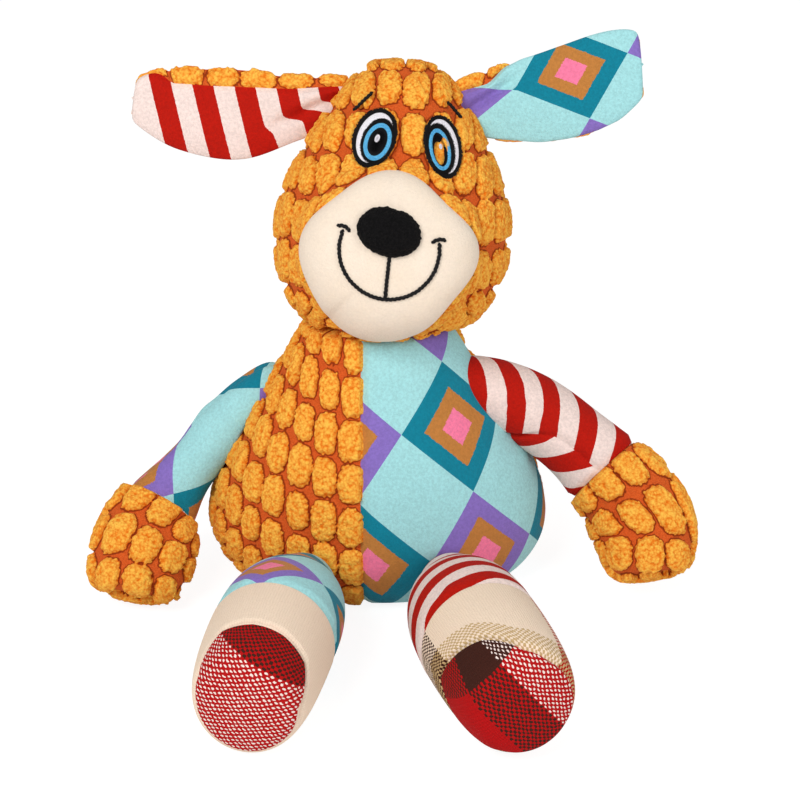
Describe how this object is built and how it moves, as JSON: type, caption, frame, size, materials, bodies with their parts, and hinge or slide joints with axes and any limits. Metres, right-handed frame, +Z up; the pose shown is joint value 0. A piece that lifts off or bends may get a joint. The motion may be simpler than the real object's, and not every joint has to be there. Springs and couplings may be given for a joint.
{
  "type": "squeaky dog toy",
  "caption": "Sitting patchwork plush dog with a squeaker in its belly, flapping ears, a turning head and limbs that swing at their seams.",
  "frame": {"origin": "on the floor in the middle of the flat seat", "axes": "+Z up, -Y the way the dog faces, +X the dog's left"},
  "size_m": [0.2574, 0.2179, 0.2294],
  "materials": {
    "corn_plush": "matte",
    "argyle_velour": "matte",
    "striped_velour": "matte",
    "cream_velour": "matte",
    "cream_weave": "matte",
    "plaid_weave": "matte",
    "black_plush": "matte",
    "black_thread": "satin",
    "white_thread": "satin",
    "blue_thread": "satin",
    "filling": "matte",
    "squeaker_plastic": "satin",
    "reed_plastic": "satin"
  },
  "bodies": {
    "torso": {"body_front_right": "corn_plush", "body_front_left": "argyle_velour", "body_back": "corn_plush", "body_stuffing_front": "filling", "body_stuffing_back": "filling", "squeaker_base": "squeaker_plastic", "squeaker_bellows": "squeaker_plastic", "reed_tube": "squeaker_plastic"},
    "squeaker_cap": {"squeaker_cap": "squeaker_plastic"},
    "reed": {"squeaker_reed": "reed_plastic"},
    "head": {"head_front": "corn_plush", "head_back": "corn_plush", "head_stuffing": "filling", "muzzle_skin": "cream_velour", "muzzle_stuffing": "filling", "nose": "black_plush", "mouth_stitching": "black_thread", "eye_right_outline": "black_thread", "eye_right_white": "white_thread", "eye_right_iris": "blue_thread", "eye_right_pupil": "black_thread", "eye_left_outline": "black_thread", "eye_left_white": "white_thread", "eye_left_iris": "blue_thread", "eye_left_pupil": "black_thread", "brow_right": "black_thread", "brow_left": "black_thread"},
    "ear_right": {"ear_right_lining": "striped_velour", "ear_right_back": "corn_plush"},
    "ear_left": {"ear_left_lining": "argyle_velour", "ear_left_back": "corn_plush"},
    "arm_right": {"sleeve_right_front": "argyle_velour", "sleeve_right_back": "argyle_velour", "hand_right_front": "corn_plush", "hand_right_back": "corn_plush", "arm_right_stuffing": "filling"},
    "arm_left": {"sleeve_left_front": "striped_velour", "sleeve_left_back": "striped_velour", "hand_left_front": "corn_plush", "hand_left_back": "corn_plush", "arm_left_stuffing": "filling"},
    "leg_right": {"leg_right": "argyle_velour", "foot_right_upper": "cream_weave", "foot_right_sole": "plaid_weave", "leg_right_stuffing": "filling"},
    "leg_left": {"leg_left": "striped_velour", "foot_left_upper": "cream_weave", "foot_left_sole": "plaid_weave", "leg_left_stuffing": "filling"}
  },
  "joints": [
    {"name": "head_turn", "type": "hinge", "parent": "torso", "child": "head", "pos_m": [0, 0.006, 0.116], "axis": [0, 0, 1], "range_deg": [-35, 35], "stiffness_Nm_per_rad": 0.12},
    {"name": "ear_right_flap", "type": "hinge", "parent": "head", "child": "ear_right", "pos_m": [-0.01722, 0.02982, 0.20488], "axis": [0, 0.2588, 0.9659], "range_deg": [-45, 45], "stiffness_Nm_per_rad": 0.004},
    {"name": "ear_left_flap", "type": "hinge", "parent": "head", "child": "ear_left", "pos_m": [0.0375, 0.02896, 0.2017], "axis": [0.225, -0.2522, -0.9412], "range_deg": [-45, 45], "stiffness_Nm_per_rad": 0.004},
    {"name": "arm_right_lift", "type": "hinge", "parent": "torso", "child": "arm_right", "pos_m": [-0.04165, 0.00799, 0.09476], "axis": [0, 1, 0], "range_deg": [0, 75]},
    {"name": "arm_left_lift", "type": "hinge", "parent": "torso", "child": "arm_left", "pos_m": [0.04165, 0.00799, 0.09476], "axis": [0, -1, 0], "range_deg": [0, 75]},
    {"name": "leg_right_swing", "type": "hinge", "parent": "torso", "child": "leg_right", "pos_m": [-0.03285, -0.06318, 0.02065], "axis": [-1, 0, 0], "range_deg": [-60, 45]},
    {"name": "leg_left_swing", "type": "hinge", "parent": "torso", "child": "leg_left", "pos_m": [0.03285, -0.06319, 0.02065], "axis": [-1, 0, 0], "range_deg": [-60, 45]},
    {"name": "squeaker_squeeze", "type": "slide", "parent": "torso", "child": "squeaker_cap", "axis": [0, 1, 0], "range_m": [0, 0.012], "stiffness_N_per_m": 200, "deforming": ["squeaker_bellows"]},
    {"name": "reed_flutter", "type": "hinge", "parent": "torso", "child": "reed", "pos_m": [0, 0.0165, 0.042], "axis": [1, 0, 0], "range_deg": [-4, 4], "stiffness_Nm_per_rad": 0.0004}
  ]
}
